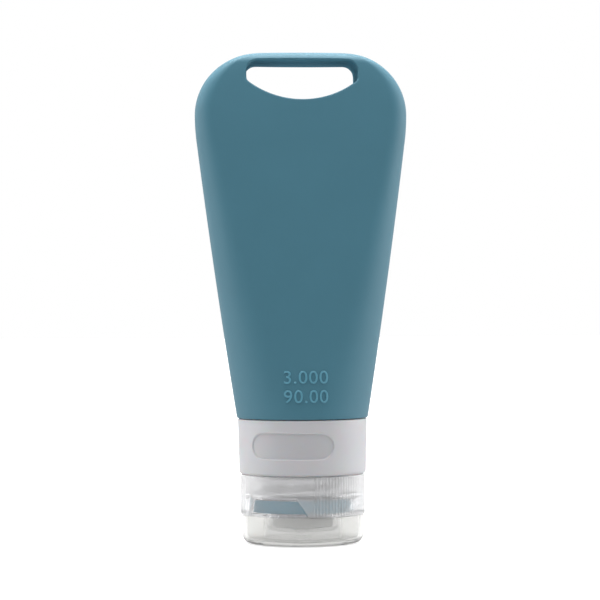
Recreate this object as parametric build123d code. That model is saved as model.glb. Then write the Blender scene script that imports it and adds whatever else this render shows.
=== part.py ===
from build123d import *
import os
from math import asin, atan2, cos, hypot, pi, radians, sin, sqrt, tan

# A soft travel bottle that stands on its flip lid.
# Millimetres, +Z up. The origin is on the surface it stands on, on the axis of the neck.
# The bottle's face with the slot looks along -Y. Turned pieces are made facing -Y too and then turned.

# Heights along the axis, from the lid up
lid_height = 8.75
lid_gap = 0.05
cap_height = 12.45
cap_gap = 0.1
collar_height = 16.85
collar_gap = 0.2
body_height = 112.3

lid_top = lid_height
cap_bottom = lid_top + lid_gap
cap_top = cap_bottom + cap_height
collar_bottom = cap_top + cap_gap
collar_top = collar_bottom + collar_height
body_bottom = collar_top + collar_gap
body_top = body_bottom + body_height

# Soft body: round over the collar, flat and wide at the top
body_overhang = 0.25
body_width = 65.66
body_top_depth = 19.2
body_corner_radius = 18.7
body_side_radius = 65.0
body_side_bulge = 0.35
body_top_edge_radius = 2.4
body_foot_edge_radius = 0.5
body_wall = 2.8
body_edge_share = 0.55
front_arc_angle = 8.0
side_arc_angle = 18.0
side_height_shares = (0.0, 0.35, 0.7, 1.0)
side_arc_shares = (1.0, 0.5)
corner_shares = (0.0, 0.25, 0.5, 0.75, 1.0)
top_edge_angles = (0.0, 20.0, 40.0, 60.0, 78.0, 90.0)
cavity_corner_shares = (0.0, 0.2, 0.4, 0.6)

# Hanger slot: flat above, a shallow arc below
slot_width = 34.2
slot_bar = 2.48
slot_depth = 12.23
slot_arc_radius = 27.0
slot_corner_radius = 3.3
slot_foot_radius = 1.2
slot_floor = 2.6

# Neck: a hard insert pressed into the soft neck, its lower end carries the screw cap
neck_bore_radius = 10.6
neck_wall = 1.6
neck_lip_gap = 0.1
neck_flange_thickness = 1.0
neck_flange_clearance = 0.6
neck_step_height = 1.4
neck_step_inset = 0.9
spigot_wall = 2.6
spigot_height = 12.5
barb_count = 3
barb_height = 0.6
barb_length = 1.8
barb_pitch = 3.4
barb_start = 2.6
soft_neck_wall = 3.0
cavity_rise = 2.3

# Ring that is read through the collar's window, and the collar that turns round it
ring_gap = 0.05
ring_wall = 1.6
ring_foot_gap = 0.15
collar_clearance = 0.3
collar_wall = 1.8
collar_taper = 0.4
collar_lip_thickness = 1.0
collar_foot_edge = 1.0
collar_head_edge = 0.3
window_height = 7.9
window_rise = 9.0
window_half_angle = 39.7
window_recess = 0.4
window_turn = -14.3

# Screw cap, with ribs all round but for the smooth front that holds the thumb scoop
cap_step = 0.375
cap_skirt_wall = 1.55
cap_deck = 1.0
cap_edge = 0.35
rib_count = 112
rib_depth = 0.22
rib_edge = 0.45
rib_smooth_half_angle = 38.0
ledge_thickness = 1.4
thread_clearance = 1.1
thread_skirt_wall = 1.3
thread_skirt_gap = 0.3
boss_radius = 11.0
boss_height = 4.95
boss_edge = 1.5
boss_wall = 1.5
boss_plate = 1.2
orifice_radius = 2.1
scoop_height = 5.65
scoop_top_half_angle = 22.0
scoop_bottom_half_angle = 33.0
scoop_top_recess = 0.3
scoop_bottom_recess = 1.25
front_turn = -31.0

# Seal between the neck's lip and the cap's deck
seal_thickness = 3.95
seal_gap = 0.1
seal_seat_wall = 1.525
seal_side_gap = 0.2
seal_hole_margin = 0.2
seal_groove_width = 1.2
seal_groove_depth = 0.7

# Soft valve in the boss, and the ring that holds it down
valve_gap = 0.1
valve_rim_height = 2.4
valve_rim_width = 3.0
valve_wall = 0.8
valve_dome = 1.1
valve_slit_width = 0.12
valve_slit_length = 5.0
retainer_gap = 0.05
retainer_height = 2.1
retainer_wall = 2.0
retainer_spoke_count = 4
retainer_spoke_width = 1.2
retainer_hub_radius = 2.4
retainer_spoke_height = 1.0

# Flip lid and its hinge
lid_step = 0.5
lid_wall = 1.35
lid_plate = 1.4
lid_edge = 2.5
lid_inner_edge = 1.2
lid_ring_clearance = 0.4
lid_ring_wall = 0.85
lid_ring_drop = 0.3
plug_clearance = 0.35
plug_reach = 1.0
plug_root_flare = 0.85
plug_root_height = 1.2
lip_half_angle = 20.0
lip_height = 1.8
lip_rise = 0.5
hinge_offset = 0.325
hinge_bead_radius = 0.45
hinge_clearance = 0.06
hinge_length = 8.4
hinge_leaf_height = 2.7
hinge_leaf_thickness = 0.5
hinge_relief_height = 1.6
hinge_relief_depth = 0.6
hinge_relief_side = 0.4

# Every cutter runs past what it cuts by this much
overrun = 1.0

# Radii worked out from the neck's bore outwards
neck_outer = neck_bore_radius + neck_wall
spigot_radius = neck_bore_radius + spigot_wall
soft_neck_outer = spigot_radius + soft_neck_wall
neck_step_radius = soft_neck_outer - neck_step_inset
ring_inner = soft_neck_outer + ring_gap
ring_outer = ring_inner + ring_wall
collar_inner = ring_outer + collar_clearance
collar_head_radius = collar_inner + collar_wall
collar_foot_radius = collar_head_radius - collar_taper
body_foot_radius = collar_head_radius + body_overhang
cap_radius = collar_foot_radius - cap_step
cap_inner = cap_radius - cap_skirt_wall
neck_flange_radius = cap_inner - neck_flange_clearance
seal_seat_radius = cap_inner - seal_seat_wall
seal_radius = seal_seat_radius - seal_side_gap
thread_skirt_radius = neck_outer + thread_clearance
boss_bore_radius = boss_radius - boss_wall
seal_hole_radius = boss_bore_radius + seal_hole_margin
valve_radius = boss_bore_radius - valve_gap
retainer_radius = boss_bore_radius - retainer_gap
lid_radius = cap_radius - lid_step
hinge_radius = lid_radius + hinge_offset
plug_radius = orifice_radius - plug_clearance
lid_ring_inner = boss_radius + lid_ring_clearance
lid_ring_outer = lid_ring_inner + lid_ring_wall

# Heights and places of the neck and the cap
flange_top = cap_top
flange_bottom = flange_top - neck_flange_thickness
step_top = flange_top + neck_step_height
spigot_top = step_top + spigot_height
deck_top = cap_bottom + cap_deck
seal_bottom = deck_top + seal_gap
seal_top = seal_bottom + seal_thickness
neck_lip = seal_top + neck_lip_gap
ledge_bottom = seal_top + seal_gap
ledge_top = ledge_bottom + ledge_thickness
boss_bottom = cap_bottom - boss_height
valve_bottom = boss_bottom + boss_plate + valve_gap
valve_top = valve_bottom + valve_rim_height
ring_bottom = collar_bottom + collar_lip_thickness + ring_foot_gap

# Heights and places of the body and its slot
side_height = body_height - body_corner_radius
body_widest = body_bottom + side_height
corner_centre = body_width / 2 - body_corner_radius
side_arc_centre = body_width / 2 - body_side_radius
foot_distance = hypot(body_foot_radius - side_arc_centre, side_height)
side_lean = (atan2(-side_height, body_foot_radius - side_arc_centre)
             + pi / 2 - atan2(body_side_radius, sqrt(foot_distance**2 - body_side_radius**2)))
side_arc_start = body_widest + body_side_radius * sin(side_lean)
top_edge_start = body_top - body_top_edge_radius
slot_top = body_top - slot_bar
slot_bottom = slot_top - slot_depth
slot_arc_height = slot_bottom + slot_arc_radius
cavity_start = body_bottom + cavity_rise


def turned(points):
    """A solid of revolution about the axis, from (radius, height) corners."""
    profile = Plane.XZ * make_face(Polyline(*points, close=True))
    return revolve(profile, Axis.Z)


def tube(inner, outer, low, high):
    """A plain ring between two radii and two heights."""
    return turned([(inner, low), (outer, low), (outer, high), (inner, high)])


def arc(centre_x, centre_y, radius, start, end, height):
    """A level arc, with its angles in radians from +X."""
    angles = (start, (start + end) / 2, end)
    points = [(centre_x + radius * cos(t), centre_y + radius * sin(t), height) for t in angles]
    return Edge.make_three_point_arc(*points)


def oval(half_width, half_depth, edge, height):
    """A level outline of eight tangent arcs: faces, sides and four rounded edges."""
    front = radians(front_arc_angle)
    side = radians(side_arc_angle)
    slope = tan(front / 2)
    side_more = (half_depth - edge - (half_width - edge) * slope) / (sin(side) - (1 - cos(side)) * slope)
    front_more = (half_width - edge - side_more * (1 - cos(side))) / sin(front)
    face_radius = edge + front_more
    side_radius = edge + side_more
    face_centre = half_depth - face_radius
    side_centre = half_width - side_radius
    edge_x = side_centre + side_more * cos(side)
    edge_y = side_more * sin(side)
    back = pi / 2
    return Wire([
        arc(0, face_centre, face_radius, back + front, back - front, height),
        arc(edge_x, edge_y, edge, back - front, side, height),
        arc(side_centre, 0, side_radius, side, -side, height),
        arc(edge_x, -edge_y, edge, -side, front - back, height),
        arc(0, -face_centre, face_radius, front - back, -front - back, height),
        arc(-edge_x, -edge_y, edge, -front - back, side - pi, height),
        arc(-side_centre, 0, side_radius, side - pi, -side - pi, height),
        arc(-edge_x, edge_y, edge, -side - pi, front - 3 * back, height),
    ])


def half_width_at(height):
    """The body's half width: a nearly straight side, a slow arc to the widest place, then the corner."""
    if height > body_widest:
        return corner_centre + sqrt(max(body_corner_radius**2 - (height - body_widest)**2, 0))
    if height > side_arc_start:
        return side_arc_centre + sqrt(body_side_radius**2 - (body_widest - height)**2)
    share = (height - body_bottom) / (side_arc_start - body_bottom)
    arc_x = side_arc_centre + body_side_radius * cos(side_lean)
    return body_foot_radius + (arc_x - body_foot_radius) * share + body_side_bulge * 4 * share * (1 - share)


def half_depth_at(height):
    """The body's half depth, which falls evenly to the top and rolls over the top edge."""
    share = (height - body_bottom) / body_height
    depth = body_foot_radius + (body_top_depth / 2 - body_foot_radius) * share
    past = max(height - top_edge_start, 0)
    return depth + sqrt(max(body_top_edge_radius**2 - past**2, 0)) - body_top_edge_radius


def body_outline(height, inset):
    """The body's level outline at a height, drawn in by an inset."""
    share = (height - body_bottom) / body_height
    half_depth = half_depth_at(height)
    edge = half_depth * (1 - body_edge_share * share)
    return oval(half_width_at(height) - inset, half_depth - inset, edge - inset, height)


def body_stretch(heights, inset=0):
    """One smooth stretch of the body through its outlines at these heights."""
    return Solid.make_loft([body_outline(height, inset) for height in heights])


def body_form():
    """The soft body's outer form: its sides, its upper corners and its rolled top edge."""
    side = [body_bottom + (side_arc_start - body_bottom) * share for share in side_height_shares]
    reach = asin((top_edge_start - body_widest) / body_corner_radius)
    side_arc = [body_widest + body_side_radius * sin(side_lean * share) for share in side_arc_shares]
    corner = [body_widest + body_corner_radius * sin(reach * share) for share in corner_shares]
    edge = [top_edge_start + body_top_edge_radius * sin(radians(angle)) for angle in top_edge_angles]
    return body_stretch(side) + body_stretch(side_arc + corner) + body_stretch(edge)


def slot_form():
    """The hanger slot, cut right through from front to back."""
    half = slot_width / 2
    side_low = slot_arc_height - sqrt(slot_arc_radius**2 - half**2)
    face = make_face([
        Line((-half, slot_top), (half, slot_top)),
        Line((half, slot_top), (half, side_low)),
        ThreePointArc((half, side_low), (0, slot_bottom), (-half, side_low)),
        Line((-half, side_low), (-half, slot_top)),
    ])
    upper = face.vertices().group_by(Axis.Y)[-1]
    face = fillet(upper, slot_corner_radius)
    lower = face.vertices().group_by(Axis.Y)[0]
    face = fillet(lower, slot_foot_radius)
    return extrude(Plane.XZ * face, body_foot_radius, both=True)


def cavity_form():
    """The space for the liquid, with a roof under the slot that follows its arc."""
    side = [cavity_start + (side_arc_start - cavity_start) * share for share in side_height_shares]
    side_arc = [body_widest + body_side_radius * sin(side_lean * share) for share in side_arc_shares]
    reach = asin((top_edge_start - body_widest) / body_corner_radius)
    corner = [body_widest + body_corner_radius * sin(reach * share) for share in cavity_corner_shares]
    space = body_stretch(side, body_wall) + body_stretch(side_arc + corner, body_wall)
    under_slot = Cylinder(slot_arc_radius + slot_floor, 4 * body_foot_radius, rotation=(90, 0, 0))
    throat_top = body_foot_radius - body_wall
    throat = turned([(0, spigot_top - overrun), (spigot_radius, spigot_top - overrun),
                     (spigot_radius, body_bottom), (throat_top, cavity_start + overrun),
                     (0, cavity_start + overrun)])
    return space - Pos(0, 0, slot_arc_height) * under_slot + throat


def make_silicone_body(insert):
    neck = tube(0, soft_neck_outer, step_top, body_bottom + overrun)
    body = body_form()
    body = fillet(body.edges().group_by(Axis.Z)[0], body_foot_edge_radius)
    body = body + neck - cavity_form()
    body = body - tube(0, spigot_radius, step_top - overrun, spigot_top + overrun)
    body = body - insert
    body = body - slot_form()
    return body


def make_neck_insert():
    points = [(neck_bore_radius, neck_lip), (neck_outer, neck_lip), (neck_outer, flange_bottom),
              (neck_flange_radius, flange_bottom), (neck_flange_radius, flange_top),
              (neck_step_radius, flange_top), (neck_step_radius, step_top), (spigot_radius, step_top)]
    for count in range(barb_count):
        foot = step_top + barb_start + count * barb_pitch
        points += [(spigot_radius, foot), (spigot_radius + barb_height, foot),
                   (spigot_radius, foot + barb_length)]
    points += [(spigot_radius, spigot_top), (neck_bore_radius, spigot_top)]
    return turned(points)


def make_label_ring():
    return tube(ring_inner, ring_outer, ring_bottom, collar_top)


def collar_radius_at(height):
    share = (height - collar_bottom) / collar_height
    return collar_foot_radius + (collar_head_radius - collar_foot_radius) * share


def window_form():
    """The oval recess of the collar, bent round it."""
    reach = collar_head_radius + overrun
    middle = collar_bottom + window_rise
    half = collar_radius_at(middle) * sin(radians(window_half_angle))
    plate = extrude(Plane.XZ * Pos(0, middle) * SlotOverall(2 * half, window_height), reach)
    core = turned([(0, collar_bottom), (collar_foot_radius - window_recess, collar_bottom),
                   (collar_head_radius - window_recess, collar_top), (0, collar_top)])
    return plate - core


def make_collar():
    lip_inner = neck_step_radius + collar_clearance
    sleeve = turned([(lip_inner, collar_bottom), (collar_foot_radius, collar_bottom),
                     (collar_head_radius, collar_top), (collar_inner, collar_top),
                     (collar_inner, collar_bottom + collar_lip_thickness),
                     (lip_inner, collar_bottom + collar_lip_thickness)])
    rims = sleeve.edges().filter_by(GeomType.CIRCLE).sort_by(lambda edge: edge.radius)
    sleeve = fillet(rims[-2], collar_foot_edge)
    head = sleeve.edges().filter_by(GeomType.CIRCLE).sort_by(lambda edge: edge.radius)[-1]
    sleeve = fillet(head, collar_head_edge)
    return Rot(Z=window_turn) * (sleeve - window_form())


def rib_grooves():
    """The grooves between the ribs, as upright wedges that stop short of the skirt's two rims."""
    half = pi * cap_radius / rib_count / 2
    floor = cap_radius - rib_depth
    wedge = make_face(Polyline((-half, -cap_radius - rib_depth), (half, -cap_radius - rib_depth),
                               (0, -floor), close=True))
    height = cap_height - 2 * rib_edge
    groove = extrude(Pos(0, 0, cap_bottom + rib_edge) * wedge, height)
    pitch = 360 / rib_count
    turns = [count * pitch for count in range(rib_count)]
    return [Rot(Z=turn) * groove for turn in turns
            if rib_smooth_half_angle < turn < 360 - rib_smooth_half_angle]


def scoop_form():
    """The thumb scoop at the cap's front: its floor leans in towards the lid."""
    scoop_top = cap_bottom + scoop_height
    top_half = cap_radius * sin(radians(scoop_top_half_angle))
    bottom_half = cap_radius * sin(radians(scoop_bottom_half_angle))
    outline = make_face(Polyline((-top_half, scoop_top), (top_half, scoop_top), (bottom_half, cap_bottom),
                                 (-bottom_half, cap_bottom), close=True))
    plate = extrude(Plane.XZ * outline, cap_radius + overrun)
    core = turned([(0, cap_bottom - overrun), (cap_radius - scoop_bottom_recess, cap_bottom - overrun),
                   (cap_radius - scoop_bottom_recess, cap_bottom),
                   (cap_radius - scoop_top_recess, scoop_top), (0, scoop_top)])
    return plate - core


def hinge_rod(radius, length):
    """A rod on the hinge's axis, at the back of the parting line."""
    return Pos(0, hinge_radius, cap_bottom) * Cylinder(radius, length, rotation=(0, 90, 0))


def hinge_relief():
    """The flat at the back of the cap that leaves room for the folded hinge."""
    length = hinge_length + 2 * hinge_relief_side
    inner = cap_radius - hinge_relief_depth
    place = Pos(0, inner, cap_bottom - overrun)
    corner = (Align.CENTER, Align.MIN, Align.MIN)
    block = Box(length, hinge_relief_depth + overrun, hinge_relief_height + overrun, align=corner)
    return place * block


def make_cap_shell():
    thread_outer = thread_skirt_radius + thread_skirt_wall
    thread_top = flange_bottom - thread_skirt_gap
    boss_floor = boss_bottom + boss_plate
    shell = turned([
        (orifice_radius, boss_bottom), (boss_radius, boss_bottom), (boss_radius, cap_bottom),
        (cap_radius, cap_bottom), (cap_radius, cap_top), (cap_inner, cap_top), (cap_inner, ledge_top),
        (thread_outer, ledge_top), (thread_outer, thread_top), (thread_skirt_radius, thread_top),
        (thread_skirt_radius, ledge_bottom), (seal_seat_radius, ledge_bottom), (seal_seat_radius, deck_top),
        (boss_bore_radius, deck_top), (boss_bore_radius, boss_floor), (orifice_radius, boss_floor),
    ])
    foot = shell.edges().filter_by(GeomType.CIRCLE).group_by(Axis.Z)[0]
    shell = fillet(foot.sort_by(lambda edge: edge.radius)[-1], boss_edge)
    rims = shell.edges().filter_by(GeomType.CIRCLE).filter_by(lambda edge: edge.radius == cap_radius)
    shell = fillet(rims, cap_edge)
    shell = shell - rib_grooves() - scoop_form() - hinge_relief()
    shell = shell - hinge_rod(hinge_bead_radius + hinge_clearance, hinge_length + 2 * hinge_relief_side)
    return Rot(Z=front_turn) * shell


def make_seal_washer():
    """The ring that the neck's lip presses on, with a groove on each side of the lip's track."""
    washer = tube(seal_hole_radius, seal_radius, seal_bottom, seal_top)
    groove_middle = (neck_outer + seal_radius) / 2
    groove = tube(groove_middle - seal_groove_width / 2, groove_middle + seal_groove_width / 2,
                  seal_top - seal_groove_depth, seal_top + overrun)
    return washer - groove


def make_valve():
    """The soft valve: a rim and a dished wall with a crossed slit."""
    hole = valve_radius - valve_rim_width
    dome = (hole**2 + valve_dome**2) / (2 * valve_dome)
    rim = tube(hole, valve_radius, valve_bottom, valve_top)
    wall_low = valve_bottom + plug_reach - valve_gap
    ball = Pos(0, 0, wall_low - dome + valve_dome)
    wall = ball * Sphere(dome) - ball * Sphere(dome - valve_wall)
    wall = wall & tube(0, hole + valve_wall, wall_low - valve_wall, valve_top)
    valve = rim + wall
    slit = Box(valve_slit_length, valve_slit_width, 2 * valve_rim_height)
    slits = Pos(0, 0, valve_top) * (slit + Rot(Z=90) * slit)
    return Rot(Z=front_turn) * (valve - slits)


def make_valve_retainer():
    """The ring that holds the valve down, with spokes that guard the slit."""
    low = valve_top + valve_gap
    ring = tube(retainer_radius - retainer_wall, retainer_radius, low, low + retainer_height)
    spoke_low = low + retainer_height - retainer_spoke_height
    hub = tube(0, retainer_hub_radius, spoke_low, spoke_low + retainer_spoke_height)
    spoke_length = retainer_radius - retainer_wall / 2
    corner = (Align.MIN, Align.CENTER, Align.MIN)
    spoke = Pos(0, 0, spoke_low) * Box(spoke_length, retainer_spoke_width, retainer_spoke_height, align=corner)
    retainer = ring + hub
    for count in range(retainer_spoke_count):
        retainer = retainer + Rot(Z=360 * count / retainer_spoke_count) * spoke
    return Rot(Z=front_turn) * retainer


def make_flip_lid():
    inner = lid_radius - lid_wall
    lid = turned([(0, 0), (lid_radius, 0), (lid_radius, lid_top), (inner, lid_top), (inner, lid_plate),
                  (0, lid_plate)])
    circles = lid.edges().filter_by(GeomType.CIRCLE)
    lid = fillet(circles.group_by(Axis.Z)[0], lid_edge)
    floor_edge = lid.edges().filter_by(GeomType.CIRCLE).filter_by(lambda edge: edge.radius == inner)
    lid = fillet(floor_edge.group_by(Axis.Z)[0], lid_inner_edge)
    plug_top = boss_bottom + plug_reach
    plug = tube(0, plug_radius, lid_plate / 2, plug_top)
    boss_ring = tube(lid_ring_inner, lid_ring_outer, lid_plate / 2, lid_top - lid_ring_drop)
    root_radius = plug_radius + plug_root_flare
    root = turned([(0, lid_plate / 2), (root_radius, lid_plate / 2), (root_radius, lid_plate),
                   (plug_radius, lid_plate + plug_root_height), (0, lid_plate + plug_root_height)])
    lip_outer = cap_radius - cap_edge
    lip_low = lid_top - lip_height
    lip_profile = Plane.XZ * make_face(Polyline(
        (inner, lip_low), (lid_radius, lip_low), (lip_outer, lip_low + lip_rise), (lip_outer, lid_top),
        (inner, lid_top), close=True))
    lip = revolve(lip_profile, Axis.Z, 2 * lip_half_angle)
    lid = lid + plug + root + boss_ring + Rot(Z=-90 - lip_half_angle) * lip
    lid = lid - hinge_rod(hinge_bead_radius, hinge_length)
    return Rot(Z=front_turn) * lid


def make_hinge_strap():
    """The film hinge, drawn as a bead on its axis with a leaf down the back of the lid."""
    corner = (Align.CENTER, Align.CENTER, Align.MAX)
    leaf = Box(hinge_length, 2 * hinge_leaf_thickness, hinge_leaf_height, align=corner)
    leaf = Pos(0, lid_radius, cap_bottom) * leaf
    strap = hinge_rod(hinge_bead_radius, hinge_length) + leaf
    return Rot(Z=front_turn) * (strap - tube(0, lid_radius, -overrun, lid_top))


os.makedirs("parts", exist_ok=True)
neck_insert = make_neck_insert()
pieces = {
    "silicone_body": make_silicone_body(neck_insert),
    "neck_insert": neck_insert,
    "label_ring": make_label_ring(),
    "collar": make_collar(),
    "seal_washer": make_seal_washer(),
    "cap_shell": make_cap_shell(),
    "valve": make_valve(),
    "valve_retainer": make_valve_retainer(),
    "flip_lid": make_flip_lid(),
    "hinge_strap": make_hinge_strap(),
}
for name, piece in pieces.items():
    export_step(piece, f"parts/{name}.step")
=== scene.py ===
from math import asin, atan2, ceil, cos, hypot, pi, radians, sin, sqrt, tan

import bmesh
import bpy
import numpy as np
from mathutils import Matrix, Vector


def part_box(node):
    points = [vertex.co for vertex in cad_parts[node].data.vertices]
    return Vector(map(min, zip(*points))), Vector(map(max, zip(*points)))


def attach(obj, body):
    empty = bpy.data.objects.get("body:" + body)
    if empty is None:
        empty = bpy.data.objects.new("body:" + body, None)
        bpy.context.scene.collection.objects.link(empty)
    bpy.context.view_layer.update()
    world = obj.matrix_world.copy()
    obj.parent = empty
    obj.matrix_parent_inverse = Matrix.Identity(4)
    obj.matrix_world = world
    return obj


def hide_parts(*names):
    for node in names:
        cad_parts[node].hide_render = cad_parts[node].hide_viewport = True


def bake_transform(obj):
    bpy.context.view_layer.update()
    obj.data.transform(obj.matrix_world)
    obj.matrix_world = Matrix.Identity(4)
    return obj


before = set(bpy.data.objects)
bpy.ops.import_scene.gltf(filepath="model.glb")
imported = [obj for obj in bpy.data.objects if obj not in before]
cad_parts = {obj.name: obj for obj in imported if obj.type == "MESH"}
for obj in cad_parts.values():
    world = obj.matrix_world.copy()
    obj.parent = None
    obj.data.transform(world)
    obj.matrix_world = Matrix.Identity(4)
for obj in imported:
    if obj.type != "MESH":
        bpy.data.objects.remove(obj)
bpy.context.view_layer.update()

# A soft travel bottle on its flip lid, looked at from the front and a little from its left.
# Lengths of the object are in millimetres until a mesh is made, which takes them to metres.
metres = 0.001


def low_of(node):
    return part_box(node)[0] / metres


def high_of(node):
    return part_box(node)[1] / metres


# Clearances and steps between the pieces
boss_depth = 4.95
body_gap = 0.2
body_overhang = 0.25
collar_taper = 0.4
lid_setback = 0.5

# Heights and radii read from the frame
lid_top = high_of("flip_lid").z
boss_low = low_of("cap_shell").z
cap_bottom = boss_low + boss_depth
cap_top = high_of("cap_shell").z
cap_radius = high_of("cap_shell").x
lid_radius = cap_radius - lid_setback
collar_bottom = low_of("collar").z
collar_top = high_of("collar").z
collar_head_radius = high_of("collar").x
collar_foot_radius = collar_head_radius - collar_taper
neck_lip = low_of("neck_insert").z
seal_top = high_of("seal_washer").z
step_top = low_of("silicone_body").z
body_bottom = collar_top + body_gap
body_top = high_of("silicone_body").z
body_width = high_of("silicone_body").x - low_of("silicone_body").x
body_foot_radius = collar_head_radius + body_overhang

# How far the cap with its lid, and the collar, are turned from the front
front_turn = radians(-31.0)
window_turn = radians(-14.3)

# Small roundings that most pieces share, and the angles from which an edge shades as a sharp one
fine_edge = 0.2
fine_fillet = 0.3
film_edge_angle = radians(35)
hard_edge_angle = radians(50)
soft_edge_angle = radians(60)

# Margins within which a point or face still counts as on a surface, in a zone, on a ring or on a wall
touch = 0.01
skin = 0.02
border = 0.1
ring_border = 0.2
wall_border = 0.3

# Soft body
top_depth = 19.2
corner_radius = 18.7
side_radius = 65.0
side_bulge = 0.35
top_edge_radius = 3.2
foot_edge_radius = 0.5
edge_share = 0.55
front_angle = radians(8.0)
side_angle = radians(18.0)
split_height = 126.0
soft_neck_outer = 16.2
spigot_radius = 13.2
neck_overlap = 3.0

body_height = body_top - body_bottom
body_widest = body_top - corner_radius
corner_centre = body_width / 2 - corner_radius
side_centre = body_width / 2 - side_radius
foot_distance = hypot(body_foot_radius - side_centre, body_widest - body_bottom)
side_lean = (atan2(body_bottom - body_widest, body_foot_radius - side_centre)
             + pi / 2 - atan2(side_radius, sqrt(foot_distance**2 - side_radius**2)))
side_arc_start = body_widest + side_radius * sin(side_lean)

# Hanger slot
slot_width = 34.2
slot_bar = 2.48
slot_depth = 12.23
slot_arc_radius = 27.0
slot_corner_radius = 3.3
slot_foot_radius = 1.2
slot_lip_radius = 0.45
slot_low_half_width = 13.0
parting_height = 0.13
parting_width = 0.5
slot_top = body_top - slot_bar
slot_bottom = slot_top - slot_depth
slot_arc_height = slot_bottom + slot_arc_radius

# Steps of the body's mesh
arc_steps = (14, 22, 12)
foot_steps, level_steps = 5, 85
side_steps, corner_steps, top_steps = 6, 30, 30
wall_steps, lip_steps, face_steps, bar_steps = 13, 7, 43, 16
slot_arc_steps, slot_corner_steps, slot_step = 59, 14, 0.15
weld_distance = 0.004

# Raised numbers. The font values are shares of the font's size.
numeral_rows = (("numerals_upper", "3.000", 49.25), ("numerals_lower", "90.00", 43.45))
numeral_height, numeral_width = 3.9, 13.3
numeral_rise, numeral_thickness = 0.28, 0.6
font_extrude_share, font_bevel_share, font_thinner_share = 0.06, 0.022, -0.018
font_spacing = 1.08

# Collar with its window
collar_lip_inner, collar_inner, collar_lip_height = 15.6, 18.15, 1.0
collar_foot_edge, collar_mouth_edge = 0.8, 0.15
collar_step = 0.22
window_height, window_rise = 7.9, 9.0
window_centre = collar_bottom + window_rise
window_half_angle = radians(39.7)
window_recess, window_edge, window_floor_share = 0.4, 0.16, 0.6
window_zone = pi * 0.27
window_steps, rest_steps = 279, 99

# Cap with its ribs and thumb scoop
cap_wall = 1.55
cap_rim = 1.3
cap_foot_edge, cap_head_edge = 0.35, 0.7
cap_inner = cap_radius - cap_wall
deck_thickness, deck_radius = 1.0, 16.1
ledge_gap, ledge_rise = 0.1, 1.5
ledge_low, ledge_top = seal_top + ledge_gap, seal_top + ledge_rise
skirt_inner, skirt_outer, skirt_gap = 13.1, 13.75, 1.3
boss_outer, boss_inner, boss_floor, boss_edge = 11.0, 9.5, 1.2, 1.5
orifice_radius = 2.1
inner_fillet = 0.4
rib_count = 112
rib_depth = 0.26
rib_zone = 0.5
rib_hollow_power = 0.7
rib_smooth_half, rib_fade = radians(38.0), 0.02
rib_end_low, rib_end_high = 0.3, 0.75
scoop_height = 5.65
scoop_top = cap_bottom + scoop_height
scoop_half_angles = radians(33.0), radians(22.0)
scoop_recess = 1.25, 0.3
scoop_over = 0.3
scoop_draft_share = 0.03
scoop_edge_in, scoop_edge_out = 0.12, -0.08
cap_step, cap_inner_step = 0.42, 1.6
steps_per_rib = 8

# Neck with its thread
neck_bore, neck_outer = 10.6, 12.2
flange_radius, flange_thickness = 17.0, 1.0
shoulder_radius = 15.3
spigot_rise = 12.5
flange_low = cap_top - flange_thickness
thread_pitch, thread_depth = 4.0, 0.8
thread_lip_gap, thread_flange_gap = 1.4, 1.0
thread_low, thread_high = neck_lip + thread_lip_gap, flange_low - thread_flange_gap
thread_fade, thread_margin = 0.4, 0.5
crest_foot_share, crest_top_share, crest_finish_share = 0.26, 0.12, 0.3
neck_step, neck_angles = 0.3, 240

# Lid
lid_wall = 1.35
lid_plate = 1.4
lid_inner = lid_radius - lid_wall
lid_foot_edge, lid_rim_edge, lid_fillet = 2.5, 0.25, 1.2
lid_ring_inner, lid_ring_outer, lid_ring_gap = 11.4, 12.25, 0.3
plug_radius, plug_foot_radius, plug_foot_rise, plug_reach = 1.75, 2.6, 1.2, 1.0
thumb_lip_setback, thumb_lip_height, thumb_lip_full_height = 0.35, 1.8, 1.3
thumb_lip_radius = cap_radius - thumb_lip_setback
thumb_lip_low, thumb_lip_high = lid_top - thumb_lip_height, lid_top - thumb_lip_full_height
thumb_lip_out, thumb_lip_in = radians(20.6), radians(19.4)
axis_radius = 0.02
lid_step, lid_angles = 0.4, 288

# Film hinge
hinge_half, hinge_thickness = 4.2, 0.35
hinge_below, hinge_above = 2.6, 1.2
hinge_sink = 0.05
hinge_thin_share = 0.45
hinge_thin_half, hinge_thick_half = 0.2, 0.9
hinge_steps = 24


# Materials

silicone_blue = (0.046, 0.157, 0.214)
silicone_change = (0.0015, 0.004, 0.005)


def material(name, color, roughness, **sockets):
    """A plain Principled material; sockets are set by their names with _ for a space."""
    made = bpy.data.materials.new(name)
    made.use_nodes = True
    shader = made.node_tree.nodes["Principled BSDF"]
    shader.inputs["Base Color"].default_value = (*color, 1)
    shader.inputs["Roughness"].default_value = roughness
    for socket, value in sockets.items():
        shader.inputs[socket.replace("_", " ")].default_value = value
    return made


def add_node(made, kind, **inputs):
    node = made.node_tree.nodes.new(kind)
    for socket, value in inputs.items():
        node.inputs[socket].default_value = value
    return node


def link(made, out, into):
    made.node_tree.links.new(out, into)


def object_noise(made, scale, detail):
    """A noise that stays on the object."""
    place = add_node(made, "ShaderNodeTexCoord")
    noise = add_node(made, "ShaderNodeTexNoise", Scale=scale, Detail=detail)
    link(made, place.outputs["Object"], noise.inputs["Vector"])
    return noise


def vary(made, low, high, scale, socket):
    """Lets a noise move one socket of the shader between two colours."""
    noise = object_noise(made, scale, detail=3.0)
    noise_low, noise_high = 0.3, 0.7
    ramp = add_node(made, "ShaderNodeValToRGB")
    first, last = ramp.color_ramp.elements
    first.position, last.position = noise_low, noise_high
    first.color, last.color = (*low, 1), (*high, 1)
    link(made, noise.outputs["Fac"], ramp.inputs["Fac"])
    link(made, ramp.outputs["Color"], made.node_tree.nodes["Principled BSDF"].inputs[socket])


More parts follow.
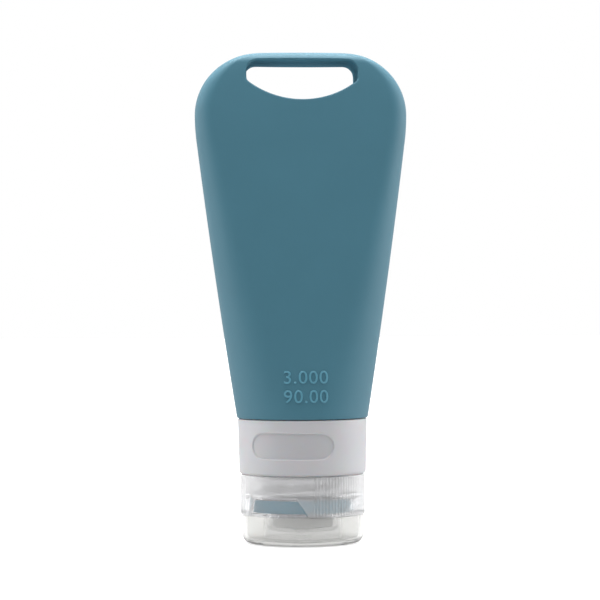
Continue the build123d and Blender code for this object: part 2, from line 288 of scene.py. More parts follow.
def vary_color(made, color, change, scale):
    low = [value - step for value, step in zip(color, change)]
    high = [value + step for value, step in zip(color, change)]
    vary(made, low, high, scale, socket="Base Color")


def roughen(made, scale, distance, strength):
    """A fine bump from noise. Its distance is in metres."""
    noise = object_noise(made, scale, detail=2.0)
    bump = add_node(made, "ShaderNodeBump", Strength=strength, Distance=distance)
    link(made, noise.outputs["Fac"], bump.inputs["Height"])
    link(made, bump.outputs["Normal"], made.node_tree.nodes["Principled BSDF"].inputs["Normal"])


def silicone_material(name, roughness, gloss, sheen=0.0, painted_light_lift=1.0):
    """Blue silicone. Its last argument scales the colour up, which paints light into it: a lighter slot wall
    in the slot's shade, and a painted highlight on the raised numbers.
    """
    color = [value * painted_light_lift for value in silicone_blue]
    change = [value * painted_light_lift for value in silicone_change]
    made = material(name, color, roughness, Sheen_Weight=sheen, Sheen_Roughness=0.35,
                    Sheen_Tint=(0.75, 0.88, 0.95, 1), Specular_IOR_Level=gloss)
    vary_color(made, color, change, scale=60.0)
    roughen(made, scale=2600.0, distance=0.00006, strength=0.35)
    return made


def seal_material():
    color = (0.025, 0.150, 0.215)
    made = material("seal_silicone", color, roughness=0.35, Specular_IOR_Level=0.5)
    vary_color(made, color, change=(0.001, 0.005, 0.007), scale=90.0)
    roughen(made, scale=1800.0, distance=0.00004, strength=0.4)
    return made


def frosted_material(name, color):
    """Milky plastic that lets a little light through."""
    made = material(name, color, roughness=0.42, Subsurface_Weight=0.3, Subsurface_Scale=0.002,
                    Transmission_Weight=0.2, IOR=1.48)
    vary_color(made, color, change=(0.01, 0.01, 0.01), scale=45.0)
    roughen(made, scale=5200.0, distance=0.00004, strength=0.5)
    return made


def ring_material():
    color = (0.74, 0.74, 0.77)
    made = material("ring_plastic", color, roughness=0.4)
    vary_color(made, color, change=(0.02, 0.02, 0.02), scale=70.0)
    roughen(made, scale=1500.0, distance=0.00003, strength=0.3)
    return made


def clear_material(name, color, clarity, bend, gloss=0.0, roughness=0.02):
    """Clear plastic with a milky share. bend is its index of refraction."""
    made = material(name, color, roughness, Transmission_Weight=clarity, IOR=bend, Coat_Weight=gloss,
                    Coat_Roughness=0.06, Coat_IOR=1.5)
    smoother, rougher = roughness * 0.8, roughness * 1.25
    vary(made, [smoother] * 3, [rougher] * 3, scale=120.0, socket="Roughness")
    roughen(made, scale=420.0, distance=0.00001, strength=0.25)
    return made


def seen_share(tree):
    """1 for what the camera sees, straight or through clear plastic, and 0 for what only lights."""
    path = tree.nodes.new("ShaderNodeLightPath")
    seen = tree.nodes.new("ShaderNodeMath")
    seen.operation = "MAXIMUM"
    tree.links.new(path.outputs["Is Camera Ray"], seen.inputs[0])
    tree.links.new(path.outputs["Is Transmission Ray"], seen.inputs[1])
    return seen.outputs[0]


def floor_material():
    """A pale floor that is overexposed where it is seen, as the photo's is, and lights the object less."""
    color = (0.56, 0.56, 0.56)
    floor_glow = 0.70
    made = material("pale_floor", color, roughness=0.85, Emission_Color=(1, 1, 1, 1))
    vary_color(made, color, change=(0.005, 0.005, 0.005), scale=8.0)
    scale = add_node(made, "ShaderNodeMath")
    scale.operation = "MULTIPLY"
    scale.inputs[1].default_value = floor_glow
    link(made, seen_share(made.node_tree), scale.inputs[0])
    link(made, scale.outputs[0], made.node_tree.nodes["Principled BSDF"].inputs["Emission Strength"])
    return made


silicone = silicone_material("soft_silicone", roughness=0.56, gloss=0.42)
# The slot's wall: a rougher, matt finish, and painted light that makes it lighter in the slot's shade.
slot_wall_silicone_painted_light = silicone_material("matt_slot_wall_painted_light", roughness=0.9, gloss=0.1, painted_light_lift=1.3)
# The raised numbers: a painted highlight makes them lighter than the body's silicone.
numeral_silicone_painted_highlight = silicone_material("numeral_relief_painted_highlight", roughness=0.40, gloss=0.7, sheen=0.06, painted_light_lift=1.65)
seal_silicone = seal_material()
frosted = frosted_material("frosted_plastic", (0.60, 0.60, 0.625))
# A darker copy of the frosted plastic for the window's floor: painted shade in the recess.
window_painted_shade = frosted_material("window_painted_shade", (0.545, 0.545, 0.57))
ring_plastic = ring_material()
clear = clear_material("clear_plastic", (0.845, 0.845, 0.85), clarity=0.705, bend=1.17, gloss=0.8)
# A clearer, lighter copy of the clear plastic for inner faces: painted light that lightens what lies inside
# the cap and the lid.
inner_clear_painted_light = clear_material("inner_clear_painted_light_plastic", (0.98, 0.98, 0.985), clarity=0.94, bend=1.13)
clear_scoop = clear_material("clear_scoop_plastic", (0.93, 0.93, 0.935), clarity=0.88, bend=1.17, gloss=0.8)
clear_lid = clear_material("clear_lid_plastic", (0.82, 0.82, 0.805), clarity=0.765, bend=1.12, gloss=0.4)
clear_neck = clear_material("clear_neck_plastic", (0.84, 0.84, 0.86), clarity=0.84, bend=1.38)
# Dark plastic on the thread's crests: painted shade, standing in for the dark stripes that refraction makes
# there.
thread_crest_painted_shade = clear_material("thread_crest_painted_shade_plastic", (0.22, 0.22, 0.24), clarity=0.50, bend=1.20,
                              roughness=0.05)
# A milkier, lighter band on the cap's ledge: painted light.
ledge_band_painted_light = clear_material("ledge_band_painted_light_plastic", (0.95, 0.95, 0.955), clarity=0.50, bend=1.13,
                             roughness=0.10)
valve_silicone = clear_material("valve_silicone", (0.70, 0.71, 0.72), clarity=0.60, bend=1.49,
                                roughness=0.35)


# Meshes

def mesh_object(name, points, faces, finish, body, sharp):
    """One piece from points in millimetres. It rides on a CAD body when one is given, and takes its finish
    from a slot.
    """
    mesh = bpy.data.meshes.new(name)
    mesh.from_pydata([tuple(point) for point in np.asarray(points) * metres], [],
                     [tuple(face) for face in faces])
    mesh.validate()
    mesh.shade_smooth()
    mesh.set_sharp_from_angle(angle=sharp)
    mesh.materials.append(finish)
    piece = bpy.data.objects.new(name, mesh)
    bpy.context.scene.collection.objects.link(piece)
    if body:
        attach(piece, body)
    return piece


def finish_where(piece, finish, belongs):
    """Another finish for the faces whose middle, by its radius and height, belongs to it."""
    piece.data.materials.append(finish)
    for face in piece.data.polygons:
        x, y, height = face.center / metres
        if belongs(hypot(x, y), height):
            face.material_index = len(piece.data.materials) - 1


def finish_node(node, finish):
    """A finish for a solid of the CAD part that shows as it is."""
    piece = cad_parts[node]
    piece.data.materials.clear()
    piece.data.materials.append(finish)


def band(first, second, wrap=True):
    """Quads between two rows of point numbers."""
    count = len(first)
    last = count if wrap else count - 1
    return [(first[at], first[(at + 1) % count], second[(at + 1) % count], second[at]) for at in range(last)]


class Surface:
    """Points in rows, and the faces between the rows."""

    def __init__(self):
        self.points, self.faces = [], []

    def row(self, values):
        start = len(self.points)
        self.points.extend(values)
        return list(range(start, len(self.points)))

    def join(self, rows, wrap=True, flipped=False):
        for first, second in zip(rows, rows[1:]):
            quads = band(first, second, wrap)
            self.faces += [quad[::-1] for quad in quads] if flipped else quads


def rounded(corners, steps=6):
    """A closed outline with an arc at each corner, which is given as (across, height, radius of the arc)."""
    outline = []
    for at, (across, height, radius) in enumerate(corners):
        here = Vector((across, height))
        if not radius:
            outline.append(tuple(here))
            continue
        back = (Vector(corners[at - 1][:2]) - here).normalized()
        ahead = (Vector(corners[(at + 1) % len(corners)][:2]) - here).normalized()
        half = back.angle(ahead) / 2
        centre = here + (back + ahead).normalized() * radius / sin(half)
        start = here + back * radius / tan(half) - centre
        end = here + ahead * radius / tan(half) - centre
        turn = start.angle(end)
        for step in range(steps + 1):
            share = step / steps
            spot = (start * sin((1 - share) * turn) + end * sin(share * turn)) / sin(turn)
            outline.append(tuple(centre + spot))
    return outline


def filled(outline, longest, inside=None, radius=0.0):
    """The same closed outline with no step longer than this, or than inside where it is within the radius."""
    points = []
    for at, start in enumerate(outline):
        end = outline[(at + 1) % len(outline)]
        step = inside if inside and max(start[0], end[0]) < radius else longest
        parts = max(1, ceil(hypot(end[0] - start[0], end[1] - start[1]) / step))
        points += [(start[0] + (end[0] - start[0]) * part / parts,
                    start[1] + (end[1] - start[1]) * part / parts) for part in range(parts)]
    return points


def lathe(outline, angles, reach):
    """Points and faces of a closed outline of (radius, height) taken round the axis.
    Angles run from -Y towards +X. reach changes the radius of a point."""
    surface = Surface()
    rows = []
    for radius, height in outline:
        reached = [(reach(radius, height, angle), angle) for angle in angles]
        rows.append(surface.row([(here * sin(angle), -here * cos(angle), height) for here, angle in reached]))
    surface.join(rows + rows[:1])
    return surface.points, surface.faces


def even_angles(count):
    return [2 * pi * at / count for at in range(count)]


def turn_between(angle, middle):
    """How far an angle lies from another one, from -pi to pi."""
    return (angle - middle + pi) % (2 * pi) - pi


def smooth_step(low, high, value):
    """0 at low and 1 at high, with a smooth way between. low may be the larger one."""
    share = min(max((value - low) / (high - low), 0.0), 1.0)
    return share * share * (3 - 2 * share)


def weld(piece, distance):
    """Joins points that lie closer together than this and turns all faces outwards."""
    work = bmesh.new()
    work.from_mesh(piece.data)
    bmesh.ops.remove_doubles(work, verts=work.verts, dist=distance)
    bmesh.ops.dissolve_degenerate(work, dist=distance / 4, edges=work.edges)
    bmesh.ops.recalc_face_normals(work, faces=work.faces)
    work.to_mesh(piece.data)
    work.free()
    piece.data.shade_smooth()


# Shape of the soft body

def half_width_at(height):
    if height > body_widest:
        return corner_centre + sqrt(max(corner_radius**2 - (height - body_widest)**2, 0))
    if height > side_arc_start:
        return side_centre + sqrt(side_radius**2 - (body_widest - height)**2)
    share = (height - body_bottom) / (side_arc_start - body_bottom)
    arc_x = side_centre + side_radius * cos(side_lean)
    return body_foot_radius + (arc_x - body_foot_radius) * share + side_bulge * 4 * share * (1 - share)


def half_depth_at(height):
    share = (height - body_bottom) / body_height
    depth = body_foot_radius + (top_depth / 2 - body_foot_radius) * share
    past = max(height - body_top + top_edge_radius, 0)
    return depth + sqrt(max(top_edge_radius**2 - past**2, 0)) - top_edge_radius


def oval_arcs(height, inset=0.0):
    """The three arcs of a level outline's quarter, the one on the face first.
    Each is given as (centre x, centre y, radius, start angle, end angle)."""
    share = (height - body_bottom) / body_height
    depth = half_depth_at(height)
    edge = depth * (1 - edge_share * share) - inset
    depth -= inset
    width = half_width_at(height) - inset
    slope = tan(front_angle / 2)
    side_more = ((depth - edge - (width - edge) * slope)
                 / (sin(side_angle) - (1 - cos(side_angle)) * slope))
    front_more = (width - edge - side_more * (1 - cos(side_angle))) / sin(front_angle)
    side_middle = width - edge - side_more
    return [
        (0.0, depth - edge - front_more, edge + front_more, pi / 2, pi / 2 - front_angle),
        (side_middle + side_more * cos(side_angle), side_more * sin(side_angle), edge,
         pi / 2 - front_angle, side_angle),
        (side_middle, 0.0, edge + side_more, side_angle, 0.0),
    ]


def quarter_outline(height, inset=0.0):
    """Points of a level outline from the middle of a face to the side."""
    points = []
    for (x, y, radius, start, end), steps in zip(oval_arcs(height, inset), arc_steps):
        points += [(x + radius * cos(start + (end - start) * step / steps),
                    y + radius * sin(start + (end - start) * step / steps)) for step in range(steps)]
    points.append((half_width_at(height) - inset, 0.0))
    return points


def ring_outline(height, inset=0.0):
    """The whole level outline, from the right side over the front to the left side and back."""
    quarter = quarter_outline(height, inset)
    front = [(x, -y) for x, y in reversed(quarter)] + [(-x, -y) for x, y in quarter[1:]]
    back = [(x, -y) for x, y in reversed(front)]
    return front + back[1:-1]


def depth_at(x, height):
    """How far the body's face lies from its middle plane."""
    x = abs(x)
    face, edge, side = oval_arcs(height)
    if x <= face[2] * cos(face[4]):
        centre_x, centre_y, radius = face[:3]
    elif x <= edge[0] + edge[2] * cos(edge[4]):
        centre_x, centre_y, radius = edge[:3]
    else:
        centre_x, centre_y, radius = side[:3]
    return max(centre_y + sqrt(max(radius**2 - (x - centre_x)**2, 0)), 0.0)


split_ring = ring_outline(split_height)
columns = len(split_ring) // 2


def line_lengths(points):
    """How far along an open line each of its points lies."""
    return np.concatenate([[0], np.cumsum(np.linalg.norm(np.diff(points, axis=0), axis=1))])


def slot_outline():
    """The slot's closed outline, from the left end of its lower arc to the right and back over the top."""
    half = slot_width / 2
    span = asin(half / slot_arc_radius)
    arc = [(slot_arc_radius * sin(angle), slot_arc_height - slot_arc_radius * cos(angle))
           for angle in np.linspace(-span, span, slot_arc_steps + 1)]
    over = rounded([(*arc[-1], 0), (half, slot_top, slot_corner_radius),
                    (-half, slot_top, slot_corner_radius), (*arc[0], 0)], slot_corner_steps)
    ring = np.array(filled(arc + over[1:-1], slot_step))
    rounds = ceil(2 * (slot_foot_radius / 2 / slot_step)**2)
    for _ in range(rounds):
        ring = (np.roll(ring, 1, axis=0) + 2 * ring + np.roll(ring, -1, axis=0)) / 4
    return ring


def upper_silhouette():
    """The closed outline of the body's upper part in the X-Z plane, from the right of the split line."""
    bottom = [(x, split_height) for x, y in split_ring[:columns + 1]]
    heights = np.linspace(split_height, body_widest, side_steps + 1)[1:]
    side = [(half_width_at(height), height) for height in heights]
    corner = [(corner_centre + corner_radius * cos(angle), body_widest + corner_radius * sin(angle))
              for angle in np.linspace(0, pi / 2, corner_steps + 1)[1:]]
    right = side + corner
    left = [(-x, height) for x, height in right]
    top = [(x, body_top) for x in np.linspace(-corner_centre, corner_centre, top_steps + 1)[1:-1]]
    return bottom + left + top + right[::-1]


def slot_stations():
    """The slot's outline with one station for each one of the silhouette.
    The outline runs from the lower left along the arc to the right, up, and back over the top."""
    ring = slot_outline()
    closed = np.vstack([ring, ring[:1]])
    lengths = line_lengths(closed)
    total = lengths[-1]

    def along(x, z):
        return lengths[np.argmin(np.hypot(closed[:-1, 0] - x, closed[:-1, 1] - z))]

    def between(start, end, count):
        return [start + (end - start) * step / count for step in range(count)]

    low_height = slot_arc_height - sqrt(slot_arc_radius**2 - slot_low_half_width**2)
    lower_right = along(slot_low_half_width, low_height)
    lower_left = along(-slot_low_half_width, low_height)
    upper_right = along(slot_width / 2 - slot_corner_radius, slot_top)
    upper_left = along(slot_corner_radius - slot_width / 2, slot_top)
    side_count = side_steps + corner_steps
    spots = between(lower_right, lower_left, columns)
    spots += between(lower_left + total, upper_left, side_count)
    spots += between(upper_left, upper_right, top_steps)
    spots += between(upper_right, lower_right, side_count)
    spots = np.mod(spots, total)
    return np.column_stack([np.interp(spots, lengths, closed[:, 0]), np.interp(spots, lengths, closed[:, 1])])


def slot_directions(stations):
    """For each station, the direction in the X-Z plane that leads away from the slot."""
    ahead = np.roll(stations, -1, axis=0) - np.roll(stations, 1, axis=0)
    away = np.column_stack([ahead[:, 1], -ahead[:, 0]])
    away /= np.linalg.norm(away, axis=1)[:, None]
    middle = np.array([0.0, (slot_top + slot_bottom) / 2])
    return away * np.median(np.sign(np.sum(away * (stations - middle), axis=1)))


def add_lower_body(surface):
    """Level rings from the soft neck over the foot up to the split."""
    turns = [atan2(y, x) for x, y in ring_outline(body_bottom)]
    rows = []
    for radius, height in [(spigot_radius, body_bottom - neck_overlap), (spigot_radius, step_top),
                           (soft_neck_outer, step_top), (soft_neck_outer, body_bottom)]:
        rows.append(surface.row([(radius * cos(angle), radius * sin(angle), height) for angle in turns]))
    for angle in np.linspace(0, pi / 2, foot_steps + 1)[1:]:
        inset = foot_edge_radius * (1 - sin(angle))
        height = body_bottom + foot_edge_radius * (1 - cos(angle))
        rows.append(surface.row([(x, y, height) for x, y in ring_outline(height, inset)]))
    for height in np.linspace(body_bottom + foot_edge_radius, split_height, level_steps + 1)[1:]:
        rows.append(surface.row([(x, y, height) for x, y in ring_outline(height)]))
    surface.join(rows)


def add_upper_face(surface, side):
    """The front (side -1) or back (side 1) of the upper part, from the middle of the slot's wall over its lip
    out to the silhouette. Gives the numbers of the faces on the slot's wall."""
    inner = slot_stations()
    outer = np.array(upper_silhouette())
    away = slot_directions(inner)
    lip = inner + away * slot_lip_radius
    lip_depth = np.array([depth_at(x, z) for x, z in lip])
    wall = lip_depth - slot_lip_radius
    rows = []
    for share in np.linspace(0, 1, wall_steps + 1)[:-1]:
        ridge = parting_height * smooth_step(parting_width, 0, wall.mean() * share)
        spot = inner - away * ridge
        rows.append(surface.row([(x, side * depth * share, z) for (x, z), depth in zip(spot, wall)]))
    for angle in np.linspace(0, pi / 2, lip_steps + 1):
        spot = inner + away * slot_lip_radius * (1 - cos(angle))
        depth = lip_depth - slot_lip_radius * (1 - sin(angle))
        rows.append(surface.row([(x, side * y, z) for (x, z), y in zip(spot, depth)]))
    for share in np.sin(np.linspace(0, pi / 2, face_steps + 1))[1:]:
        spot = lip + (outer - lip) * share
        rows.append(surface.row([(x, side * depth_at(x, z), z) for x, z in spot]))
    first = len(surface.faces)
    surface.join(rows, flipped=side > 0)
    return range(first, first + wall_steps * len(inner))


def add_top(surface):
    """The flat top between the two faces."""
    xs = np.linspace(-corner_centre, corner_centre, top_steps + 1)
    tops = [depth_at(x, body_top) for x in xs]
    rows = [surface.row([(x, depth * share, body_top) for x, depth in zip(xs, tops)])
            for share in np.linspace(-1, 1, bar_steps + 1)]
    surface.join(rows, wrap=False)


def make_body():
    surface = Surface()
    add_lower_body(surface)
    wall_faces = [*add_upper_face(surface, -1), *add_upper_face(surface, 1)]
    add_top(surface)
    body = mesh_object("soft_body", surface.points, surface.faces, silicone, None, soft_edge_angle)
    # The slot's wall gets the matt silicone with painted light.
    body.data.materials.append(slot_wall_silicone_painted_light)
    for at in wall_faces:
        body.data.polygons[at].material_index = 1
    weld(body, weld_distance * metres)
    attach(body, "bottle")
    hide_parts("silicone_body")


# Raised numbers

def numeral_mesh(name, text):
    """The numbers as a thin mesh with a small bevel, in the font's own size."""
    curve = bpy.data.curves.new(name, "FONT")
    curve.body = text
    curve.align_x = "CENTER"
    curve.extrude = font_extrude_share
    curve.bevel_depth = font_bevel_share
    curve.bevel_resolution = 3
    curve.space_character = font_spacing
    curve.resolution_u = 10
    curve.offset = font_thinner_share
    sample = bpy.data.objects.new(name + "_curve", curve)
    bpy.context.scene.collection.objects.link(sample)
    bpy.context.view_layer.update()
    mesh = bpy.data.meshes.new_from_object(sample)
    bpy.data.objects.remove(sample)
    return mesh


def make_numerals():
    """Two rows of plain raised numbers, bent onto the body's front."""
    for name, text, base in numeral_rows:
        mesh = numeral_mesh(name, text)
        spots = np.array([vertex.co for vertex in mesh.vertices])
        low, high = spots.min(0), spots.max(0)
        spots[:, 0] = (spots[:, 0] - (low[0] + high[0]) / 2) * numeral_width / (high[0] - low[0])
        spots[:, 1] = base + (spots[:, 1] - low[1]) * numeral_height / (high[1] - low[1])
        spots[:, 2] = (spots[:, 2] - high[2]) / (high[2] - low[2])
        for vertex, (x, z, rise) in zip(mesh.vertices, spots):
            front = -depth_at(x, z) - numeral_rise
            vertex.co = Vector((x, front - rise * numeral_thickness, z)) * metres
        mesh.materials.clear()
        # Their lighter silicone is a painted highlight.
        mesh.materials.append(numeral_silicone_painted_highlight)
        mesh.shade_smooth()
        mesh.set_sharp_from_angle(angle=hard_edge_angle)
        piece = bpy.data.objects.new(name, mesh)
        bpy.context.scene.collection.objects.link(piece)
        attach(piece, "bottle")


# Collar

def collar_angles():
    """Close together over the window, wider apart elsewhere."""
    dense = np.linspace(-window_zone, window_zone, window_steps + 1)
    rest = np.linspace(window_zone, 2 * pi - window_zone, rest_steps + 1)[1:-1]
    return [window_turn + angle for angle in list(dense) + list(rest)]


def collar_outer(height):
    share = (height - collar_bottom) / (collar_top - collar_bottom)
    return collar_foot_radius + (collar_head_radius - collar_foot_radius) * share


def collar_reach(radius, height, angle):
    """Lets the window into the collar's outside."""
    turn = turn_between(angle, window_turn)
    if radius < collar_outer(height) - skin or abs(turn) > pi / 2:
        return radius
    straight = radius * sin(window_half_angle) - window_height / 2
    past_straight = max(abs(radius * sin(turn)) - straight, 0)
    away = hypot(past_straight, height - window_centre) - window_height / 2
    return radius - window_recess * smooth_step(window_edge, -window_edge, away)


def make_collar():
    lip_top = collar_bottom + collar_lip_height
    outline = rounded([
        (collar_lip_inner, collar_bottom, fine_edge),
        (collar_foot_radius, collar_bottom, collar_foot_edge),
        (collar_head_radius, collar_top, fine_fillet),
        (collar_inner, collar_top, collar_mouth_edge),
        (collar_inner, lip_top, fine_fillet),
        (collar_lip_inner, lip_top, fine_edge)])
    points, faces = lathe(filled(outline, collar_step), collar_angles(), collar_reach)
    piece = mesh_object("collar_sleeve", points, faces, frosted, "collar", hard_edge_angle)
    # The window's floor gets the darker copy: painted shade.
    finish_where(piece, window_painted_shade, lambda radius, height: (
        collar_inner + wall_border < radius < collar_outer(height) - window_recess * window_floor_share
        and abs(height - window_centre) < window_height / 2))
    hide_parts("collar")


# Cap

def rib_cut(height, turn):
    """How deep the grooves between the ribs lie here. They end short of both rims and beside the scoop."""
    ribs = smooth_step(rib_smooth_half - rib_fade, rib_smooth_half + rib_fade, abs(turn))
    ends = smooth_step(rib_end_low, rib_end_high, min(height - cap_bottom, cap_top - height))
    wave = 0.5 - 0.5 * cos(turn * rib_count)
    return rib_depth * ribs * ends * (1 - wave**rib_hollow_power)


def cap_reach(radius, height, angle):
    """Lets the ribs and the thumb scoop into the cap's outside."""
    if radius < cap_radius - cap_rim or height < cap_bottom - touch:
        return radius
    turn = turn_between(angle, front_turn)
    reached = radius
    if radius > cap_radius - rib_zone:
        reached -= rib_cut(height, turn)
    if height < scoop_top + scoop_over and abs(turn) < pi / 2:
        share = min(max((height - cap_bottom) / (scoop_top - cap_bottom), 0), 1)
        half = cap_radius * (sin(scoop_half_angles[0]) * (1 - share) + sin(scoop_half_angles[1]) * share)
        inside = half - abs(cap_radius * sin(turn))
        floor = cap_radius - (scoop_recess[0] * (1 - share) + scoop_recess[1] * share)
        floor -= scoop_draft_share * (cap_radius - radius)
        cut = (smooth_step(scoop_edge_out, scoop_edge_in, inside)
               * smooth_step(scoop_edge_in, scoop_edge_out, height - scoop_top))
        reached += (min(reached, floor) - reached) * cut
    return reached


def make_cap():
    deck_top = cap_bottom + deck_thickness
    skirt_top = cap_top - skirt_gap
    boss_top = boss_low + boss_floor
    outline = rounded([
        (orifice_radius, boss_low, fine_edge),
        (boss_outer, boss_low, boss_edge),
        (boss_outer, cap_bottom, fine_fillet),
        (cap_radius, cap_bottom, cap_foot_edge),
        (cap_radius, cap_top, cap_head_edge),
        (cap_inner, cap_top, fine_edge),
        (cap_inner, ledge_top, inner_fillet),
        (skirt_outer, ledge_top, fine_fillet),
        (skirt_outer, skirt_top, fine_edge),
        (skirt_inner, skirt_top, fine_edge),
        (skirt_inner, ledge_low, fine_edge),
        (deck_radius, ledge_low, fine_edge),
        (deck_radius, deck_top, fine_fillet),
        (boss_inner, deck_top, fine_edge),
        (boss_inner, boss_top, inner_fillet),
        (orifice_radius, boss_top, fine_edge)])
    outline = filled(outline, cap_step, cap_inner_step, cap_inner + wall_border)
    points, faces = lathe(outline, even_angles(rib_count * steps_per_rib), cap_reach)
    piece = mesh_object("cap_clear", points, faces, clear, "cap", hard_edge_angle)
    # The cap's inner faces get the lighter copy: painted light.
    finish_where(piece, inner_clear_painted_light, lambda radius, height: radius < cap_inner - border)
    # The ledge gets the lighter band: painted light.
    finish_where(piece, ledge_band_painted_light, lambda radius, height: (
        skirt_outer < radius < cap_inner and ledge_low - border < height < ledge_top + border))
    finish_where(piece, clear_scoop, lambda radius, height: (
        cap_inner + border < radius < cap_radius - scoop_recess[1] + skin
        and cap_bottom + border < height < scoop_top - border))
    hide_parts("cap_shell")


# Neck

def neck_reach(radius, height, angle):
    """Raises the thread from the neck's outside."""
    if abs(radius - neck_outer) > touch or height > flange_low:
        return radius
    phase = ((height - thread_low) / thread_pitch - angle / (2 * pi)) % 1.0
    crest = smooth_step(crest_foot_share, crest_top_share, abs(phase - 0.5))
    start = smooth_step(thread_low - thread_fade, thread_low, height)
    end = smooth_step(thread_high + thread_fade, thread_high, height)
    return radius + thread_depth * crest * start * end


def make_neck():
    spigot_top = step_top + spigot_rise
    outline = rounded([
        (neck_bore, neck_lip, fine_edge),
        (neck_outer, neck_lip, 0),
        (neck_outer, flange_low, fine_fillet),
        (flange_radius, flange_low, fine_edge),
        (flange_radius, cap_top, fine_edge),
        (shoulder_radius, cap_top, 0),
        (shoulder_radius, step_top, fine_edge),
        (spigot_radius, step_top, 0),
        (spigot_radius, spigot_top, fine_fillet),
        (neck_bore, spigot_top, fine_edge)])
    points, faces = lathe(filled(outline, neck_step), even_angles(neck_angles), neck_reach)
    piece = mesh_object("threaded_neck", points, faces, clear_neck, "bottle",
                        hard_edge_angle)
    # The thread's crests get the dark copy: painted shade.
    finish_where(piece, thread_crest_painted_shade, lambda radius, height: (
        radius > neck_outer + thread_depth * crest_finish_share
        and thread_low - thread_margin < height < thread_high + thread_margin))
    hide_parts("neck_insert")


# Lid

def lid_reach(radius, height, angle):
    """Brings the thumb lip out at the lid's front."""
    if radius < lid_inner + wall_border or height < thumb_lip_low:
        return radius
    turn = abs(turn_between(angle, front_turn))
    across = smooth_step(thumb_lip_out, thumb_lip_in, turn)
    share = across * smooth_step(thumb_lip_low, thumb_lip_high, height)
    return radius + (thumb_lip_radius - lid_radius) * share * (radius - lid_inner) / (lid_radius - lid_inner)


def make_lid():
    ring_top = lid_top - lid_ring_gap
    plug_top = boss_low + plug_reach
    outline = rounded([
        (axis_radius, 0.0, 0),
        (lid_radius, 0.0, lid_foot_edge),
        (lid_radius, lid_top, lid_rim_edge),
        (lid_inner, lid_top, lid_rim_edge),
        (lid_inner, lid_plate, lid_fillet),
        (lid_ring_outer, lid_plate, fine_fillet),
        (lid_ring_outer, ring_top, fine_edge),
        (lid_ring_inner, ring_top, fine_edge),
        (lid_ring_inner, lid_plate, fine_fillet),
        (plug_foot_radius, lid_plate, inner_fillet),
        (plug_radius, lid_plate + plug_foot_rise, fine_fillet),
        (plug_radius, plug_top, fine_fillet),
        (axis_radius, plug_top, 0)])
    points, faces = lathe(filled(outline, lid_step), even_angles(lid_angles), lid_reach)
    piece = mesh_object("lid_clear", points, faces, clear_lid, "lid", hard_edge_angle)
    # The lid's inner ring, plug and the plate between them get the lighter copy: painted light.
    finish_where(piece, inner_clear_painted_light, lambda radius, height: (
        radius < lid_ring_outer + ring_border and height > lid_plate - ring_border))
    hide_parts("flip_lid")


def make_hinge():
    """The film hinge: a thin strap from the back of the lid to the back of the cap."""
    turned = Matrix.Rotation(front_turn, 3, "Z")
    surface = Surface()
    rows = []
    for height in np.linspace(cap_bottom - hinge_below, cap_bottom + hinge_above, hinge_steps + 1):
        full_share = smooth_step(hinge_thin_half, hinge_thick_half, abs(height - cap_bottom))
        depth = hinge_thickness * (hinge_thin_share + (1 - hinge_thin_share) * full_share)
        corners = ((-hinge_half, 0), (hinge_half, 0), (hinge_half, depth), (-hinge_half, depth))
        rows.append(surface.row([
            turned @ Vector((across, sqrt(lid_radius**2 - across**2) + out - hinge_sink, height))
            for across, out in corners]))
    surface.faces += [tuple(rows[0][::-1]), tuple(rows[-1])]
    surface.join(rows)
    piece = mesh_object("hinge_film", surface.points, surface.faces, clear_lid, None,
                        film_edge_angle)
    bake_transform(piece)
    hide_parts("hinge_strap")


# Stage, in metres

floor_half_width = 60.0
floor_drop = 0.0002

# Strength of the surroundings: in front, behind, and what is added overhead. The first turns into the second
# between two values of a direction's Y, and the third sets in between two values of its Z.
world_front, world_back, world_top = 0.20, 1.15, 1.1
back_from, back_to = -0.75, 0.35
top_from, top_to = 0.45, 0.95


def make_floor():
    mesh = bpy.data.meshes.new("floor")
    signs = ((-1, -1), (1, -1), (1, 1), (-1, 1))
    corners = [(x * floor_half_width, y * floor_half_width, 0) for x, y in signs]
    mesh.from_pydata(corners, [], [(0, 1, 2, 3)])
    mesh.materials.append(floor_material())
    floor = bpy.data.objects.new("floor", mesh)
    floor.location.z = -floor_drop
    bpy.context.scene.collection.objects.link(floor)


def area_light(name, place, target, width, height, power):
    """A soft light that clear plastic doesn't show as a bright patch. Its power is in watts."""
    data = bpy.data.lights.new(name, "AREA")
    data.shape = "RECTANGLE"
    data.size = width
    data.size_y = height
    data.energy = power
    light = bpy.data.objects.new(name, data)
    light.location = place
    light.rotation_mode = "QUATERNION"
    light.rotation_quaternion = (Vector(target) - Vector(place)).to_track_quat("-Z", "Y")
    light.visible_transmission = False
    bpy.context.scene.collection.objects.link(light)


def world_ramp(tree, value, start, end, low, high):
    ramp = tree.nodes.new("ShaderNodeMapRange")
    ramp.interpolation_type = "SMOOTHSTEP"
    ramp.inputs["From Min"].default_value = start
    ramp.inputs["From Max"].default_value = end
    ramp.inputs["To Min"].default_value = low
    ramp.inputs["To Max"].default_value = high
    tree.links.new(value, ramp.inputs["Value"])
    return ramp.outputs["Result"]


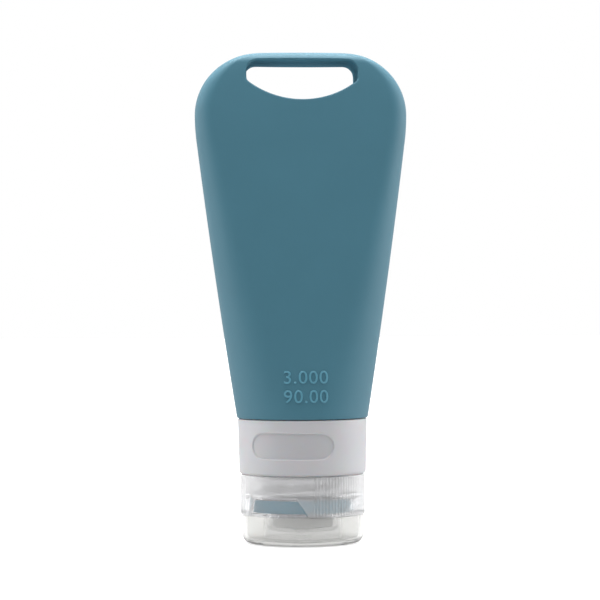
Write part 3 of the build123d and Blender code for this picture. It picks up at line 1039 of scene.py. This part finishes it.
def make_world():
    """White to the camera. What lights the object is dark in front, bright behind and brightest above."""
    world = bpy.data.worlds.new("studio")
    bpy.context.scene.world = world
    world.use_nodes = True
    tree = world.node_tree
    tree.nodes.clear()
    place = tree.nodes.new("ShaderNodeTexCoord")
    split = tree.nodes.new("ShaderNodeSeparateXYZ")
    total = tree.nodes.new("ShaderNodeMath")
    total.operation = "ADD"
    lit = tree.nodes.new("ShaderNodeBackground")
    seen = tree.nodes.new("ShaderNodeBackground")
    mix = tree.nodes.new("ShaderNodeMixShader")
    out = tree.nodes.new("ShaderNodeOutputWorld")
    level = world_ramp(tree, split.outputs["Y"], back_from, back_to, world_front, world_back)
    above = world_ramp(tree, split.outputs["Z"], top_from, top_to, 0.0, world_top)
    tree.links.new(place.outputs["Generated"], split.inputs[0])
    tree.links.new(level, total.inputs[0])
    tree.links.new(above, total.inputs[1])
    tree.links.new(total.outputs[0], lit.inputs["Strength"])
    tree.links.new(seen_share(tree), mix.inputs[0])
    tree.links.new(lit.outputs[0], mix.inputs[1])
    tree.links.new(seen.outputs[0], mix.inputs[2])
    tree.links.new(mix.outputs[0], out.inputs["Surface"])
    lit.inputs["Color"].default_value = (1, 1, 1, 1)
    seen.inputs["Color"].default_value = (1, 1, 1, 1)
    seen.inputs["Strength"].default_value = 1.0


def make_camera():
    """The photo's camera: far away, low, a little to the left, and rolled by a third of a degree."""
    distance, height, lens = 0.645, 0.06365, 124.9
    azimuth, rise, roll = radians(-3.5), radians(0.99), radians(-0.33)
    aim_left = radians(0.047)
    data = bpy.data.cameras.new("camera")
    data.lens = lens
    camera = bpy.data.objects.new("camera", data)
    bpy.context.scene.collection.objects.link(camera)
    camera.location = (distance * sin(azimuth), -distance * cos(azimuth), height)
    heading = azimuth + aim_left
    look = Vector((-sin(heading) * cos(rise), cos(heading) * cos(rise), sin(rise)))
    camera.rotation_mode = "QUATERNION"
    turn = look.to_track_quat("-Z", "Y").to_matrix() @ Matrix.Rotation(roll, 3, "Z")
    camera.rotation_quaternion = turn.to_quaternion()
    bpy.context.scene.camera = camera


make_body()
make_numerals()
make_collar()
make_cap()
make_neck()
make_lid()
make_hinge()
finish_node("label_ring", ring_plastic)
finish_node("seal_washer", seal_silicone)
finish_node("valve", valve_silicone)
finish_node("valve_retainer", clear_neck)
make_floor()
make_world()
make_camera()
area_light("top_light", place=(0, 0.01, 0.30), target=(0, 0, 0.10), width=0.22, height=0.10, power=0.52)
area_light("key_light", place=(0, -0.24, 0.60), target=(0, 0, 0.13), width=0.34, height=0.16, power=0.78)
area_light("left_light", place=(-0.7, 0.1, 0.25), target=(0, 0, 0.08), width=0.5, height=0.7, power=1.9)
area_light("right_light", place=(0.7, 0.1, 0.25), target=(0, 0, 0.08), width=0.5, height=0.7, power=2.6)
scene = bpy.context.scene
scene.view_settings.view_transform = "Standard"
scene.cycles.transmission_bounces = 24
scene.cycles.max_bounces = 32
scene.cycles.transparent_max_bounces = 16
